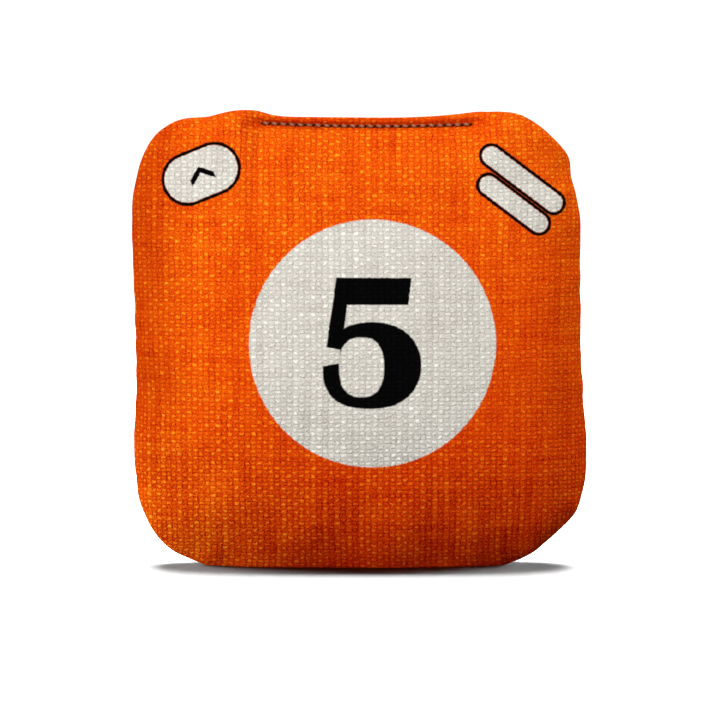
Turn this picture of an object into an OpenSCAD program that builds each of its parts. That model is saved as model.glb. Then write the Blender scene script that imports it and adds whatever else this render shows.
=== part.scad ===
// Regulation cornhole bag printed like a number five pool ball.
// It stands on its lower edge, as on a shelf: X to the right, Z up, and the
// slow side with the plain weave faces -Y. The origin is on the floor, below
// the middle of the bag.

/* [Bag] */
// Finished width across the side seams
bag_width = 152.4; // [140:0.1:165]
// Finished height from the floor to the shoulders
bag_height = 152.4; // [140:0.1:165]
// Thickness of the filled bag at its fullest
bag_thickness = 50; // [40:1:60]
// Height of the fullest place, where the pellets settle
full_height = 44; // [34:1:60]
// Thickness that the bag tapers to at the top
top_thickness = 26; // [18:1:40]
// How far the upper right shoulder leans in
shoulder_lean = 2.6; // [0:0.1:6]

/* [Corners] */
// Radius of the lower right corner, seen from the slow side
lower_right_r = 37; // [25:1:45]
// Radius of the upper right corner
upper_right_r = 29; // [20:1:40]
// Radius of the upper left corner
upper_left_r = 24; // [20:1:40]
// Radius of the lower left corner
lower_left_r = 31; // [25:1:45]

/* [Foot] */
// Half the length of the flat that the bag rests on
foot_half = 54; // [46:1:60]
// How far the cloth would droop below the seam if the floor let it
foot_droop = 14; // [8:1:20]

/* [Cloth] */
// Thickness of the slow side's coarse plain weave
slow_cloth = 0.9; // [0.6:0.1:1.2]
// Thickness of the fast side's smooth twill
fast_cloth = 0.6; // [0.4:0.1:1]
// Width of cloth turned in behind the seam
allowance = 9.5; // [7:0.5:12]

/* [Closure] */
// Left end of the topstitching that closes the filling gap
closure_left = -32.5; // [-45:0.5:-20]
// Right end of the topstitching
closure_right = 37.5; // [20:0.5:45]
// Distance of the topstitching below the top edge
lip = 3.1; // [2.5:0.1:6]
// How far the pinched top edge dips between the shoulders
lip_dip = 1.8; // [0:0.1:4]
// Length of one stitch
stitch = 2.9; // [2:0.1:4]
// Diameter of the sewing thread
thread_d = 0.7; // [0.4:0.05:1]

/* [Seam] */
// Inset of the first row of stitches from the edge of the bag
outer_row = 1.8; // [1.6:0.1:2.5]
// Inset of the second row, which doubles the first
inner_row = 5; // [4:0.1:7]

/* [Print] */
// Diameter of the white roundel
roundel_d = 81.2; // [60:1:90]
// Distance of the roundel's centre to the right of the middle
roundel_x = 4.3; // [-8:0.1:8]
// Height of the roundel's centre
roundel_z = 75.6; // [66:0.1:84]
// Overall height of the numeral
numeral_h = 43; // [30:1:50]
// Length of the badge in the upper left corner
badge_length = 25; // [18:0.5:28]
// Height of that badge
badge_height = 15.5; // [10:0.5:18]
// Thickness of the print where it lies on the cloth
film = 0.2; // [0.1:0.05:0.3]

/* [Filling] */
// Height that the pellets fill the bag to
fill_level = 134; // [110:1:140]

/* [Hidden] */

// Sides of the bag along Y
slow = -1;
fast = 1;
// Steps round each corner and along each edge
corner_steps = 8;
edge_steps = 8;
// Rings from the middle of a side to the rim, and on over the rim to the seam
face_rings = 9;
rings = 12;
// Share of the way from the middle to the seam where the rim begins
rim_share = 0.97;
// Clearance between layers that lie against each other
gap = 0.05;
// Width of the beads that join lengths of thread, as a share of the thread's
bead_share = 1.08;
// Height of the bands at the foot and the top in which the outline bends
bend_zone = 6;
// How far past the closure's ends the top edge still dips
dip_reach = 12;
// How fast the bag swells again past the ends of the closure
swell_rate = 1.3;
// Height at which the numeral's points are drawn
drawn_h = 44;
// Height of the two label bars, and how far they and the badge are turned
bar_height = 6.2;
bar_turn = -37;
badge_turn = 22;
$fn = 24;

middle = [0, bag_height / 2];
half_width = bag_width / 2;
closure_mid = (closure_left + closure_right) / 2;
closure_half = (closure_right - closure_left) / 2;

// Corner table: centre x, centre z, radius, first angle
CORNERS = [
    [half_width - lower_right_r, lower_right_r, lower_right_r, -90],
    [half_width - shoulder_lean - upper_right_r, bag_height - upper_right_r, upper_right_r, 0],
    [upper_left_r - half_width, bag_height - upper_left_r, upper_left_r, 90],
    [lower_left_r - half_width, lower_left_r, lower_left_r, 180]
];

// ---- Outline of the bag, counter-clockwise as the slow side is seen ----

// Point at angle a on the arc of one corner, moved in from the edge by inset
function corner_point(corner, a, inset) =
    [corner[0], corner[1]] + (corner[2] - inset) * [cos(a), sin(a)];

function corner_arc(corner) =
    [for (i = [0:corner_steps]) corner_point(corner, corner[3] + 90 * i / corner_steps, 0)];

// Points strictly between a and b
function between(a, b) =
    [for (i = [1:edge_steps - 1]) a + (b - a) * i / edge_steps];

EDGE = [
    for (c = [0:3])
        let (
            arc = corner_arc(CORNERS[c]),
            next = corner_arc(CORNERS[(c + 1) % 4])
        )
        each concat(arc, between(arc[corner_steps], next[0]))
];
COUNT = len(EDGE);

// A hump of height 1 at u = 0 that fades to nothing at u = -1 and u = 1
function hump(u) = pow(max(0, 1 - u * u), 1.5);

function smooth(u) = let (v = min(1, max(0, u))) v * v * (3 - 2 * v);

function dip_at(x) = lip_dip * hump((x - closure_mid) / (closure_half + dip_reach));

// The outline as the cloth would hang: it droops at the foot, where the floor
// then flattens it, and dips between the shoulders at the closure
OUTLINE = [
    for (p = EDGE)
        p[1] < middle[1]
            ? [p[0], p[1] - (p[1] < bend_zone ? foot_droop * hump(p[0] / foot_half) : 0)]
            : [p[0], p[1] - (p[1] > bag_height - bend_zone ? dip_at(p[0]) : 0)]
];

// ---- Swollen shape of the filled bag ----

// Half thickness of the fill at height z: fullest low down, slim at the top
function half_depth(z) =
    z > full_height
        ? (bag_thickness - (bag_thickness - top_thickness)
            * smooth((z - full_height) / (bag_height - full_height))) / 2
        : bag_thickness / 2 * (1 - 0.08 * pow(1 - z / full_height, 2));

// Pillow profile: 1 in the middle of the bag, 0 at its edge
function pillow(s) = pow(1 - pow(s, 3), 0.55);

// Half thickness of the two layers of cloth that meet at the seam
function fold_half(cloth) = 2 * cloth + 2 * gap;

// Top edge of the bag at x
function top_at(x) = bag_height - dip_at(x);

// The topstitching pinches the bag flat along the lip
function pinch_limit(x, z, cloth) =
    fold_half(cloth)
        + max(0, top_at(x) - lip - thread_d - z)
        + swell_rate * max(0, abs(x - closure_mid) - closure_half);

function depth_at(x, z, s, cloth) =
    min(
        pinch_limit(x, z, cloth),
        fold_half(cloth) + (half_depth(z) - fold_half(cloth)) * pillow(s)
    );

// Share at which the skin towards outline point p meets the floor, so that one
// ring follows the edge of the flat foot; elsewhere it is the rim
function floor_share(p) =
    p[1] < 0 ? min(rim_share, middle[1] / (middle[1] - p[1])) : rim_share;

// Share of the way from the middle to the seam at ring k, closer at the rim
function ring_share(k, p) =
    let (mark = floor_share(p))
    k <= face_rings
        ? mark * sin(90 * k / face_rings)
        : mark + (1 - mark) * sin(90 * (k - face_rings) / (rings - face_rings));

// Ring k of the outer skin, shrunk by inset in the plane and by sink in depth
function skin_ring(side, cloth, k, inset, sink) =
    [
        for (p = OUTLINE)
            let (
                s = ring_share(k, p),
                reach = p - middle,
                q = middle + reach * s * (1 - inset / norm(reach)),
                r = middle + reach * s
            )
            [q[0], side * (depth_at(r[0], r[1], s, cloth) - sink), max(q[1], inset)]
    ];

function pole(side, cloth, sink) =
    [middle[0], side * (depth_at(middle[0], middle[1], 0, cloth) - sink), middle[1]];

// Ring that lies in the seam plane at depth y, moved in from the edge by inset
function seam_ring(y, inset) =
    [
        for (i = [0:COUNT - 1])
            let (
                p = [EDGE[i][0], max(0, min(EDGE[i][1], OUTLINE[i][1]))],
                reach = middle - EDGE[i],
                q = p + reach / norm(reach) * inset
            )
            [q[0], y, max(q[1], 0)]
    ];

// ---- Closed skin through a list of rings, from one pole to the other ----

module loft(ring_list, first_pole, last_pole, side) {
    count = len(ring_list[0]);
    last = len(ring_list) - 1;
    points = concat([first_pole], [for (ring = ring_list) each ring], [last_pole]);
    function id(k, i) = 1 + k * count + i % count;
    faces = concat(
        [for (i = [0:count - 1]) [0, id(0, i), id(0, i + 1)]],
        [for (k = [0:last - 1], i = [0:count - 1]) [id(k, i), id(k + 1, i), id(k + 1, i + 1)]],
        [for (k = [0:last - 1], i = [0:count - 1]) [id(k, i), id(k + 1, i + 1), id(k, i + 1)]],
        [for (i = [0:count - 1]) [len(points) - 1, id(last, i + 1), id(last, i)]]
    );
    polyhedron(points, side == slow ? [for (f = faces) [f[0], f[2], f[1]]] : faces);
}

// One side of the bag in one piece of cloth: the swollen skin, the fold at the
// edge, and the allowance that is turned in behind the seam
module panel(side, cloth) {
    skin = [for (k = [1:rings]) skin_ring(side, cloth, k, 0, 0)];
    turned = [
        seam_ring(side * gap, 0),
        seam_ring(side * gap, allowance),
        seam_ring(side * (gap + cloth), allowance),
        seam_ring(side * (gap + cloth), cloth)
    ];
    lining = [for (k = [rings:-1:1]) skin_ring(side, cloth, k, cloth, cloth)];
    loft(concat(skin, turned, lining), pole(side, cloth, 0), pole(side, cloth, cloth), side);
}

module slow_side_panel() {
    color("#e8590c") panel(slow, slow_cloth);
}

module fast_side_panel() {
    color("#d9480f") panel(fast, fast_cloth);
}

// ---- Pellets ----

// Outline of the seam plane, moved in from the edge by inset
module seam_outline(inset) {
    polygon([
        for (corner = CORNERS, i = [0:corner_steps])
            corner_point(corner, corner[3] + 90 * i / corner_steps, inset)
    ]);
}

// Groove that the turned-in cloth and its threads fill
module allowance_groove() {
    half = slow_cloth + thread_d + 3 * gap + 0.2;
    rotate([90, 0, 0])
        linear_extrude(2 * half, center = true)
            difference() {
                seam_outline(-20);
                seam_outline(allowance + 0.6);
            }
}

// The loose pellets as one solid of the room that they take up
module pellet_fill() {
    room = slow_cloth + 0.3;
    color("#dfe3e6")
        difference() {
            loft(
                concat(
                    [for (k = [1:rings]) skin_ring(slow, slow_cloth, k, room, room)],
                    [for (k = [rings:-1:1]) skin_ring(fast, fast_cloth, k, room, room)]
                ),
                pole(slow, slow_cloth, room),
                pole(fast, fast_cloth, room),
                slow
            );
            allowance_groove();
            translate([-bag_width, -bag_thickness, fill_level])
                cube([2 * bag_width, 2 * bag_thickness, bag_height]);
        }
}

// ---- Threads ----

// Straight length of thread between two points of the XZ plane, with a small
// bead at each end that joins it to the next length
module thread_run(a, b, y) {
    reach = b - a;
    translate([a[0], y, a[1]])
        rotate([0, atan2(reach[0], reach[1]), 0]) {
            cylinder(h = norm(reach), d = thread_d);
            for (end = [0, 1]) {
                translate([0, 0, end * norm(reach)])
                    sphere(d = bead_share * thread_d);
            }
        }
}

// Arc of thread round one corner
module thread_arc(corner, inset, y) {
    translate([corner[0], y, corner[1]])
        rotate([90, 0, 0])
            rotate([0, 0, corner[3]])
                rotate_extrude(angle = 90)
                    translate([corner[2] - inset, 0])
                        circle(d = thread_d);
}

// One row of the perimeter seam, from one end of the filling gap round the
// bag to the other end
module seam_row(inset, y) {
    for (corner = CORNERS) {
        thread_arc(corner, inset, y);
    }
    for (c = [0, 2, 3]) {
        next = CORNERS[(c + 1) % 4];
        thread_run(
            corner_point(CORNERS[c], CORNERS[c][3] + 90, inset),
            corner_point(next, next[3], inset),
            y
        );
    }
    shoulder = bag_height - inset;
    thread_run([CORNERS[1][0], shoulder], [closure_right + 2, shoulder], y);
    thread_run([CORNERS[2][0], shoulder], [closure_left - 2, shoulder], y);
}

needle_y = -(slow_cloth + thread_d / 2 + 2 * gap);
bobbin_y = fast_cloth + thread_d / 2 + 2 * gap;

module outer_seam_needle_thread() {
    color("#6b5b52") seam_row(outer_row, needle_y);
}

module outer_seam_bobbin_thread() {
    color("#6b5b52") seam_row(outer_row, bobbin_y);
}

module inner_seam_needle_thread() {
    color("#6b5b52") seam_row(inner_row, needle_y);
}

module inner_seam_bobbin_thread() {
    color("#6b5b52") seam_row(inner_row, bobbin_y);
}

// Topstitching along the lip: one rounded stitch after another
module closure_stitches(y) {
    last = round((closure_right - closure_left) / stitch) - 1;
    bar = stitch - thread_d - 0.2;
    for (i = [0:last]) {
        x = closure_left + stitch * (i + 0.5);
        translate([x, y, top_at(x) - lip])
            rotate([0, 90, 0]) {
                cylinder(h = bar, d = thread_d, center = true);
                for (end = [-1, 1]) {
                    translate([0, 0, end * bar / 2])
                        sphere(d = thread_d);
                }
            }
    }
}

module closure_needle_thread() {
    color("#7a675c") closure_stitches(-(fold_half(slow_cloth) + thread_d / 2 + gap));
}

module closure_bobbin_thread() {
    color("#7a675c") closure_stitches(fold_half(fast_cloth) + thread_d / 2 + gap);
}

// ---- Print ----

// Thin shell that lies on one side of the bag, to cut the print from
module film_shell(side, cloth) {
    low = -gap;
    high = -gap - film;
    loft(
        concat(
            [for (k = [1:face_rings]) skin_ring(side, cloth, k, 0, high)],
            [for (k = [face_rings:-1:1]) skin_ring(side, cloth, k, 0, low)]
        ),
        pole(side, cloth, high),
        pole(side, cloth, low),
        side
    );
}

// Cuts the flat shape given as children from one side's print film. The
// shape is drawn as that side is looked at, so the fast side's is turned round
module printed(side, cloth) {
    intersection() {
        film_shell(side, cloth);
        rotate([90, 0, side == slow ? 0 : 180])
            linear_extrude(bag_thickness)
                children();
    }
}

// Points of a squarish ellipse about c with half axes r, from angle a to angle
// b; power 2 is a true ellipse, and more is squarer
function lobe(c, r, power, a, b, steps) =
    [
        for (i = [0:steps])
            let (
                t = a + (b - a) * i / steps,
                u = sign(cos(t)) * pow(abs(cos(t)), 2 / power),
                v = sign(sin(t)) * pow(abs(sin(t)), 2 / power)
            )
            c + [r[0] * u, r[1] * v]
    ];

// Numeral five, drawn_h units tall about the roundel's centre, with a slanted bar,
// a bowl that is heavy on the right, and a cut-off tail
module five() {
    bowl = [-0.2, -7.2];
    bowl_r = [16.5, 14.5];
    scale(numeral_h / drawn_h) {
        polygon([
            [-12.1, 22.2],
            [13.2, 22.0],
            [12.0, 13.0],
            [-8.6, 13.0],
            [-9.6, 4.6],
            [-9.2, 1.5],
            [-10.3, -2.1],
            [-15.5, -1.0]
        ]);
        polygon(concat(
            [[-10.6, -2.1], [-10.4, 4.6]],
            lobe(bowl, bowl_r, 2.2, 122, -90, 20),
            lobe(bowl, bowl_r, 2.7, 262, 182, 8),
            lobe([-3.7, -7.75], [7.5, 9.95], 2.5, 176, 508, 28)
        ));
    }
}

module roundel_shape() {
    circle(d = roundel_d, $fn = 96);
}

// Rounded bar of the given length and height, centred
module pill(length, height) {
    square([length - height, height], center = true);
    for (end = [-1, 1]) {
        translate([end * (length - height) / 2, 0])
            circle(d = height);
    }
}

// Upward chevron, size wide
module chevron(size) {
    arm = size / 2;
    weight = size * 0.3;
    polygon([
        [-arm, -arm * 0.6],
        [0, arm * 0.4],
        [arm, -arm * 0.6],
        [arm, -arm * 0.6 + weight],
        [0, arm * 0.4 + weight],
        [-arm, -arm * 0.6 + weight]
    ]);
}

// Pill-shaped speed badge: one chevron for the slow side, three for the fast
module speed_badge(chevrons) {
    difference() {
        pill(badge_length, badge_height);
        for (i = [0:chevrons - 1]) {
            translate([(i - (chevrons - 1) / 2) * 7, -1])
                chevron(6);
        }
    }
}

// Puts the flat shape given as children at x and z, turned
module placed(x, z, turn) {
    translate([x, z])
        rotate(turn)
            children();
}

module slow_side_roundel() {
    color("#dedad3")
        printed(slow, slow_cloth)
            translate([roundel_x, roundel_z])
                difference() {
                    roundel_shape();
                    five();
                }
}

module slow_side_numeral() {
    color("#141313")
        printed(slow, slow_cloth)
            translate([roundel_x, roundel_z])
                five();
}

module slow_side_badge() {
    color("#dedad3")
        printed(slow, slow_cloth)
            placed(-52.4, 131.2, badge_turn)
                speed_badge(1);
}

module slow_side_label_bars() {
    color("#dedad3")
        printed(slow, slow_cloth) {
            placed(54, 129.4, bar_turn)
                pill(32, bar_height);
            placed(51, 121.2, bar_turn)
                pill(27, bar_height);
        }
}

module fast_side_roundel() {
    color("#dedad3")
        printed(fast, fast_cloth)
            translate([0, roundel_z])
                difference() {
                    roundel_shape();
                    five();
                }
}

module fast_side_numeral() {
    color("#141313")
        printed(fast, fast_cloth)
            translate([0, roundel_z])
                five();
}

module fast_side_badge() {
    color("#dedad3")
        printed(fast, fast_cloth)
            placed(-50, 131.2, badge_turn)
                speed_badge(3);
}

slow_side_panel();
fast_side_panel();
pellet_fill();
outer_seam_needle_thread();
outer_seam_bobbin_thread();
inner_seam_needle_thread();
inner_seam_bobbin_thread();
closure_needle_thread();
closure_bobbin_thread();
slow_side_roundel();
slow_side_numeral();
slow_side_badge();
slow_side_label_bars();
fast_side_roundel();
fast_side_numeral();
fast_side_badge();
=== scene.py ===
# %% [markdown]
# # A cornhole bag with a pool ball print
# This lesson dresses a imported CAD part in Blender. The part is a regulation
# cornhole bag: two squares of cloth sewn together, filled with resin pellets and
# closed with a row of topstitching along the upper edge. The slow side, which
# faces -Y, is a coarse plain weave, and the fast side is a smooth twill.
# Everything is in metres, in the frame of the CAD part: X to the right, Z up,
# and the floor at Z = 0. The shapes are worked out in millimetres, because a bag
# maker thinks in them, and are scaled once, when a mesh is made.

import bpy
import numpy as np
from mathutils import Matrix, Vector


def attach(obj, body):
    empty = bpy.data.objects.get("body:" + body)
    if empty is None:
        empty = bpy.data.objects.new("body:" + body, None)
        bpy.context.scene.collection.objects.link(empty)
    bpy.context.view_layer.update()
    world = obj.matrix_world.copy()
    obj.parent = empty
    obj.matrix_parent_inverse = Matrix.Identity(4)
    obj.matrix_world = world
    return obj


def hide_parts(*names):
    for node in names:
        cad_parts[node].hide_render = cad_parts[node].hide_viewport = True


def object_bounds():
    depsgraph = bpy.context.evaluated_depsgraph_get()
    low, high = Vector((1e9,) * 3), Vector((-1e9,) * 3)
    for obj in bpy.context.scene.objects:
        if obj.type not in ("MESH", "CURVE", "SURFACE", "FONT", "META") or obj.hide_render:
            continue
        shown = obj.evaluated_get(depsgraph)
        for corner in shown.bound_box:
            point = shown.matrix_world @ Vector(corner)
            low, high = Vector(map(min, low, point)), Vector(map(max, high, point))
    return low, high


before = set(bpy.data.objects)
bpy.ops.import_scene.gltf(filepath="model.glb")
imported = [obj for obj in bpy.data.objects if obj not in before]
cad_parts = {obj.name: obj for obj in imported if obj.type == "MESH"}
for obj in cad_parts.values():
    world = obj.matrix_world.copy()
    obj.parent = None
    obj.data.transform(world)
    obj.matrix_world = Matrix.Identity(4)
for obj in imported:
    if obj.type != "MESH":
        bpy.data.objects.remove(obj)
cad_box = [list(corner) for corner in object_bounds()]
MM = 0.001
scene = bpy.context.scene
BAG_LOW, BAG_HIGH = (np.array(corner) / MM for corner in cad_box)
MIDDLE = np.array([0.0, (BAG_LOW[2] + BAG_HIGH[2]) / 2])
print("CAD box in mm:", BAG_LOW.round(1), BAG_HIGH.round(1))

# %% [markdown]
# ## The outline of the bag
# The two sides meet in a seam that runs round the bag. It could be a rounded
# square, but a stuffed bag never is: the sides have a waist, the lower corners
# are cut off by the floor, and the top rises in two humps just outside the
# stitched closure. So the outline is one smooth closed curve through listed
# points. Below the floor it shows how the cloth would droop if it could,
# and the floor then flattens it into the foot that the bag stands on.

# %% A smooth closed curve
OUTLINE_MM = np.array([
    (0, -11), (28, -7.8), (45, -1.6), (55.2, 2.0), (61.6, 7.2), (66.3, 11.8), (71, 15.6),
    (74.9, 22.5), (76.4, 32), (76.5, 42), (75.1, 58), (74.3, 84), (74.1, 104), (74.0, 118),
    (72.4, 125.5), (71.2, 131), (70.6, 136.6), (67, 141.2), (60.3, 147.5), (52.8, 151.7),
    (46, 152.5), (38, 151.7), (22, 150.2), (0, 149.9), (-20, 150.1), (-29, 150.8), (-38, 153),
    (-50, 151), (-60, 149.8), (-67.8, 145.2), (-72.9, 137), (-75.8, 125), (-76.2, 108),
    (-74.9, 66), (-75.6, 34), (-73.8, 21), (-69.7, 11.8), (-64.3, 5.2), (-55, 0.6), (-30, -7.2),
], float)


def closed_curve(points, count):
    """Points spread evenly along the smooth closed curve through the given ones.

    It is the periodic cubic spline over chord length: its slopes at the points
    make the second derivative continuous everywhere, which gives one linear
    equation for each point.
    """
    step = np.linalg.norm(np.roll(points, -1, 0) - points, axis=1)
    before = np.roll(step, 1)
    rise = (np.roll(points, -1, 0) - points) / step[:, None]
    order = np.arange(len(points))
    system = np.zeros((len(points), len(points)))
    system[order, order] = 2 * (step + before)
    system[order, (order - 1) % len(points)] = step
    system[order, (order + 1) % len(points)] = before
    slope = np.linalg.solve(
        system, 3 * (step[:, None] * np.roll(rise, 1, 0) + before[:, None] * rise)
    )
    fine = 40
    t = np.tile(np.arange(fine) / fine, len(points))[:, None]
    k = np.repeat(order, fine)
    n = (k + 1) % len(points)
    h = step[k][:, None]
    curve = (
        (2 * t**3 - 3 * t**2 + 1) * points[k]
        + (t**3 - 2 * t**2 + t) * h * slope[k]
        + (3 * t**2 - 2 * t**3) * points[n]
        + (t**3 - t**2) * h * slope[n]
    )
    curve = np.vstack([curve, curve[:1]])
    length = np.concatenate([[0], np.cumsum(np.linalg.norm(np.diff(curve, axis=0), axis=1))])
    even = np.linspace(0, length[-1], count, endpoint=False)
    return np.column_stack([np.interp(even, length, curve[:, i]) for i in (0, 1)])


outline = closed_curve(OUTLINE_MM, 2400)
print("outline width and height in mm:", np.ptp(outline, axis=0).round(1))

# %% [markdown]
# ## A grid of cloth over the outline
# Each side is one surface of two parameters. A polar grid would bunch up in the
# middle of the face, so the outline is split at its four corners and filled with
# a Coons patch: opposite edges are blended across, and the doubled corners are
# taken off again. The grid lines crowd towards the seam, where the cloth turns
# away fastest.

# %% Coons patch
GRID = 161
CORNER_MARKS = np.array([(67, 13.5), (67, 141.5), (-68.5, 143.5), (-69, 11.5)])


def nearest(points, targets):
    """For each target, the index of the point that lies nearest to it."""
    return np.array([np.argmin(np.linalg.norm(points - t, axis=1)) for t in targets])


def crowd(count):
    """Parameters from -1 to 1 that lie closer together towards both ends."""
    even = np.linspace(-1, 1, count)
    return 0.85 * np.sin(even * np.pi / 2) + 0.15 * even


def edge_curve(first, last, count):
    """Outline points from one corner mark on to the next, spaced by crowd()."""
    span = (last - first) % len(outline)
    place = first + span * (crowd(count) + 1) / 2
    whole = np.arange(len(outline) * 2 + 1)
    twice = np.vstack([outline, outline, outline[:1]])
    return np.column_stack([np.interp(place % len(outline), whole, twice[:, i]) for i in (0, 1)])


def coons(bottom, right, top, left):
    """Blend of four edge curves: both lofts less the patch through the corners."""
    s = ((crowd(GRID) + 1) / 2)[:, None, None]
    t = s.transpose(1, 0, 2)
    across = (1 - s) * left[None] + s * right[None]
    along = (1 - t) * bottom[:, None] + t * top[:, None]
    corners = (
        (1 - s) * (1 - t) * bottom[0]
        + s * (1 - t) * bottom[-1]
        + (1 - s) * t * top[0]
        + s * t * top[-1]
    )
    return across + along - corners


mark = nearest(outline, CORNER_MARKS)
flat = coons(
    edge_curve(mark[3], mark[0], GRID),
    edge_curve(mark[0], mark[1], GRID),
    edge_curve(mark[1], mark[2], GRID)[::-1],
    edge_curve(mark[2], mark[3], GRID)[::-1],
)
print("grid of", flat.shape[:2], "points on each side")

# %% [markdown]
# ## The swell of the fill
# Pellets push each side out from the seam. A pillow's profile is nearly flat in
# the middle and stands at right angles to the seam at its edge, so the depth is
# the square root of a product that falls to nothing at the four sides. The
# pellets have settled, so the bag is fullest low down and slim at the top.

# %% Depth of each side
ACROSS, UP = np.meshgrid(crowd(GRID), crowd(GRID), indexing="ij")
FULL_HEIGHT, FULL_DEPTH, TOP_DEPTH = 44, 24.2, 13.5
PILLOW_POWER = 2.7
FOOT_LOSS, FOOT_POWER = 0.38, 2.4


def smooth(low, high, x):
    """Rises from 0 at low to 1 at high, level at both ends."""
    t = np.clip((x - low) / (high - low), 0, 1)
    return t * t * (3 - 2 * t)


def pillow():
    """Share of the full depth: the square root of the sides' joint fall-off."""
    fall = (1 - np.abs(ACROSS) ** PILLOW_POWER) * (1 - np.abs(UP) ** PILLOW_POWER)
    return np.sqrt(np.clip(fall, 0, 1))


def fill_depth(z):
    """Half thickness of the fill at height z in mm."""
    above = FULL_DEPTH - (FULL_DEPTH - TOP_DEPTH) * smooth(FULL_HEIGHT, BAG_HIGH[2] + 8, z)
    below = FULL_DEPTH * (1 - FOOT_LOSS * np.clip(1 - z / FULL_HEIGHT, 0, 1.2) ** FOOT_POWER)
    return np.where(z > FULL_HEIGHT, above, below)


print("fill depth in mm at z = 0, 44, 100 and 150:", fill_depth(np.array([0, 44, 100, 150])).round(1))

# %% [markdown]
# ## The pinched closure
# The gap that the pellets went in through is turned in and topstitched 3 mm below
# the edge. Four layers of cloth are drawn together there, so the lip above the
# stitches puffs out a little, and the bag opens out again below them with small
# gathers. Just past each end of the stitching the cloth has a dimple, and further
# out it is free and swells.

# %% Lip, stitch groove and gathers
CLOSURE_ENDS = (-32.6, 37.4)
CLOSURE_LOW = (6, 146.9)
CLOSURE_DROP = 3.0
DIMPLES_MM = [(-37.6, 146.0), (42.4, 146.0)]
DIMPLE_DEPTH, DIMPLE_SPREAD = 1.3, 26
GATHER_WAVES = (6.3, 9.1, 13.7)
LIP_PUFF = 0.45
# How far below the edge each groove lies, its half width and its depth.
GROOVES = ((CLOSURE_DROP, 0.8, 0.5), (2.15, 0.45, 0.4))
SLOPE, SLOPE_POWER = 1.15, 0.86
BLEND_MM = 1.4


def top_edge(x):
    """Height of the upper outline above x, in mm."""
    upper = outline[outline[:, 1] > MIDDLE[1]]
    order = np.argsort(upper[:, 0])
    return np.interp(x, upper[order, 0], upper[order, 1])


def closure_share(x):
    """1 along the topstitching, falling to 0 beyond both of its ends."""
    return smooth(CLOSURE_ENDS[0] - 7, CLOSURE_ENDS[0] + 1, x) * (
        1 - smooth(CLOSURE_ENDS[1] - 1, CLOSURE_ENDS[1] + 8, x)
    )


def closure_line(x):
    """Height of the topstitching above x: a shallow parabola about its lowest point."""
    return CLOSURE_LOW[1] + 1.03 * ((x - CLOSURE_LOW[0]) / 38) ** 2


def wander(x, seed, waves):
    """Sum of three sines about 1 high whose waves are close to the given lengths."""
    phases = np.random.default_rng(seed).uniform(0, 2 * np.pi, len(waves))
    return sum(np.sin(2 * np.pi * x / w + p) for w, p in zip(waves, phases)) / np.sqrt(len(waves))


def lip_depth(x, z, cloth, seed):
    """Depth along the closure: a puffed lip, a groove under the stitches, then a slope
    that opens towards the fill with gathers across it."""
    edge = top_edge(x)
    drop = (edge - z) * CLOSURE_DROP / (edge - closure_line(x))
    layers = 2 * cloth
    puff = cloth + (layers + LIP_PUFF - cloth) * np.sqrt(np.clip(drop, 0, 1))
    groove = sum(deep * np.exp(-(((drop - at) / half) ** 2)) for at, half, deep in GROOVES)
    under = np.clip(drop - CLOSURE_DROP - 0.4, 0, None)
    gathers = 0.3 * wander(x, seed, GATHER_WAVES) * np.exp(-((under - 5) / 5) ** 2)
    return puff - groove + SLOPE * under**SLOPE_POWER + gathers * smooth(0, 3, under)


def side_depth(x, z, cloth, seed):
    """Depth of one side everywhere: the pillow with its two dimples, held down by the
    lip at the closure. The lesser of the two is taken smoothly, as minus the logarithm
    of the sum of their falling exponentials."""
    full = cloth + (fill_depth(z) - cloth) * pillow()
    held = lip_depth(x, z, cloth, seed)
    for across, up in DIMPLES_MM:
        away = ((x - across) ** 2 + (z - up) ** 2) / DIMPLE_SPREAD
        full = full - DIMPLE_DEPTH * np.exp(-away) * pillow()
    both = -np.log(np.exp(-full / BLEND_MM) + np.exp(-held / BLEND_MM)) * BLEND_MM
    share = closure_share(x)
    return np.maximum(full + (np.minimum(both, full) - full) * share, cloth)


stitch_heights = closure_line(np.array(CLOSURE_ENDS)).round(1)
print("topstitching in mm:", CLOSURE_ENDS, "at heights of", stitch_heights)

# %% [markdown]
# ## From flat grid to a standing bag
# Three things finish the shape. The seam draws the cloth in, so there is a shallow
# valley between the two sides. Small puckers run in from the seam. And the floor
# flattens whatever would hang below it.

# %% The two sides as surfaces
SLOW_CLOTH, FAST_CLOTH = 0.85, 0.6
HALF_WIDTH, SEAM_PULL = 75, 1.1
PUCKER_WAVES = (8.7, 12.3, 19.1)
SLACK_WAVES = (31.0, 47.0, 63.0)


def stuffed_side(direction, cloth, seed):
    """Points of one side in mm. direction is -1 for the slow side and 1 for the fast."""
    x, z = flat[..., 0], flat[..., 1]
    depth = side_depth(x, z, cloth, seed)
    reach = flat - MIDDLE
    radius = np.linalg.norm(reach, axis=-1)
    angle = np.arctan2(reach[..., 1], reach[..., 0])
    near_seam = np.exp(-((depth / 2.2) ** 2)) * (1 - 0.8 * closure_share(x) * (z > MIDDLE[1]))
    run = angle * HALF_WIDTH
    pucker = wander(run, seed + 1, PUCKER_WAVES) * np.exp(-((depth - 4) / 3.6) ** 2)
    slack = wander(run + 0.4 * radius, seed + 2, SLACK_WAVES) * smooth(45, 70, radius)
    fade = 1 - 0.7 * closure_share(x) * smooth(110, 140, z)
    out = (0.12 * pucker - SEAM_PULL * near_seam) * fade + 0.25 * slack * (depth > 3)
    spread = flat + reach / np.maximum(radius, 1)[..., None] * out[..., None]
    depth = depth + (0.3 * pucker + 0.35 * slack) * fade * smooth(2, 6, depth)
    return np.stack([spread[..., 0], direction * depth, np.clip(spread[..., 1], 0, None)], -1)


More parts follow.
